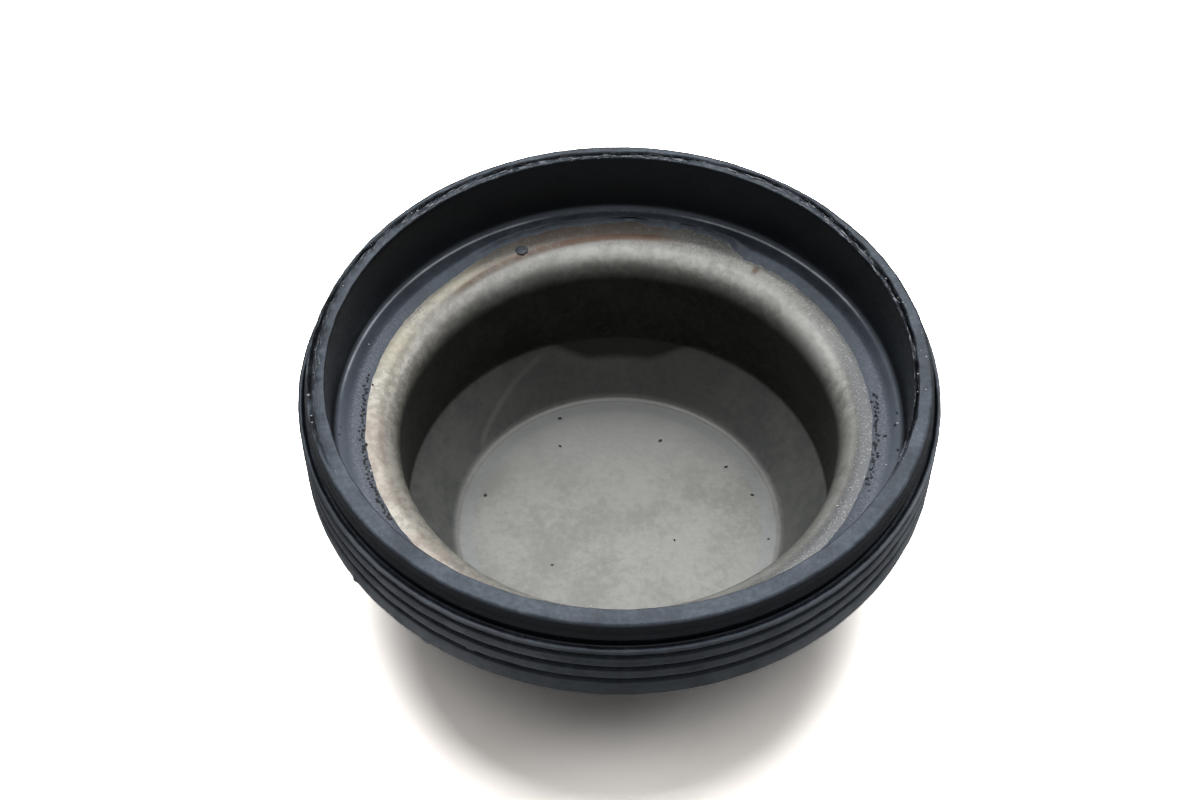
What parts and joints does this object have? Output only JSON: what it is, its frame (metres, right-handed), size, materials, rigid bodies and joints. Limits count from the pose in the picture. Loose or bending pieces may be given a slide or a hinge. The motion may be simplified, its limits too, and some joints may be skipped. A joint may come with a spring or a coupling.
{
  "type": "camshaft plug",
  "caption": "Round press-in plug for a camshaft bore: a drawn steel cup with a flat floor, its flange held in a ribbed black rubber rim with an upstanding lip.",
  "frame": {"origin": "centre of the closed end's underside", "axes": "+Z along the plug's axis, from the closed end to the lip"},
  "size_m": [0.048, 0.048, 0.0218],
  "materials": {
    "steel": "dull drawn sheet with light rust",
    "rubber": "satin black moulding"
  },
  "bodies": {
    "root": {"steel_cup": "steel", "rubber_rim": "rubber"}
  },
  "joints": []
}
